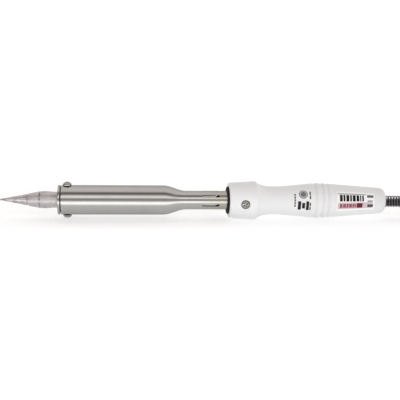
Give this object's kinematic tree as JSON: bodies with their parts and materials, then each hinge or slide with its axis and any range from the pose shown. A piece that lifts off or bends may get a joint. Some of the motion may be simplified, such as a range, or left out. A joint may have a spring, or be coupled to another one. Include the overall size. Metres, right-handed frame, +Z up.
{
  "type": "soldering iron",
  "caption": "Heavy mains soldering iron with a screwed-in conical tip, slotted steel barrel, moulded handle with ring grooves, spring cord guard, and a cord with a round-pin plug.",
  "frame": {"origin": "centre of the iron's footprint, from the point of the tip to the end of the spring guard, at the height of the surface that the handle's head rests on", "axes": "+X along the iron from the tip towards the cord, +Z up, -Y is the side that carries the label"},
  "size_m": [0.4555, 0.0433, 0.0283],
  "materials": {
    "plated_tip": "satin iron plating",
    "stainless": "polished",
    "plated_screw": "nickel plated",
    "inner_steel": "heat stained",
    "mica": "flaky",
    "resistance_wire": "oxidised",
    "ceramic": "unglazed",
    "black_phenolic": "matt",
    "white_plastic": "satin moulded",
    "brass": "plain",
    "brown_insulation": "smooth",
    "blue_insulation": "smooth",
    "cord_jacket": "satin",
    "spring_steel": "drawn wire",
    "label_film": "printed film",
    "print_film": "printed film",
    "tie_plastic": "satin",
    "plug_rubber": "moulded",
    "brass_pin": "nickel plated"
  },
  "bodies": {
    "iron": {"tip_collar": "stainless", "barrel": "stainless", "heater_core": "inner_steel", "inner_mica": "mica", "heating_element": "resistance_wire", "outer_mica": "mica", "heater_jacket": "inner_steel", "front_insulator": "ceramic", "rear_insulator": "ceramic", "support_tube": "ceramic", "lead_insulator": "ceramic", "element_lead_live": "resistance_wire", "element_lead_neutral": "resistance_wire", "mounting_bush": "inner_steel", "heat_washer": "black_phenolic", "handle": "white_plastic", "handle_screws": "plated_screw", "terminal_block": "ceramic", "terminal_inserts": "brass", "terminal_screws": "plated_screw", "live_conductor": "brown_insulation", "neutral_conductor": "blue_insulation", "cord_anchor": "inner_steel", "cord_tail": "cord_jacket", "guard_washer": "inner_steel", "cord_guard": "spring_steel", "rating_label": "label_film", "front_mark": "print_film", "cord": "cord_jacket", "cord_hank": "cord_jacket", "hank_tie": "tie_plastic", "cord_end": "cord_jacket", "plug_boot": "plug_rubber", "plug_body": "plug_rubber", "plug_pins": "brass_pin"},
    "tip": {"tip": "plated_tip"},
    "tip_screw_upper": {"tip_screw_upper": "plated_screw"},
    "tip_screw_lower": {"tip_screw_lower": "plated_screw"}
  },
  "joints": [
    {"name": "tip_slide", "type": "slide", "parent": "iron", "child": "tip", "axis": [-1, 0, 0], "range_m": [0, 0.06]},
    {"name": "tip_screw_upper_slide", "type": "slide", "parent": "iron", "child": "tip_screw_upper", "axis": [0, 0, 1], "range_m": [0, 0.0035]},
    {"name": "tip_screw_lower_slide", "type": "slide", "parent": "iron", "child": "tip_screw_lower", "axis": [0, 0, -1], "range_m": [0, 0.0035]}
  ]
}
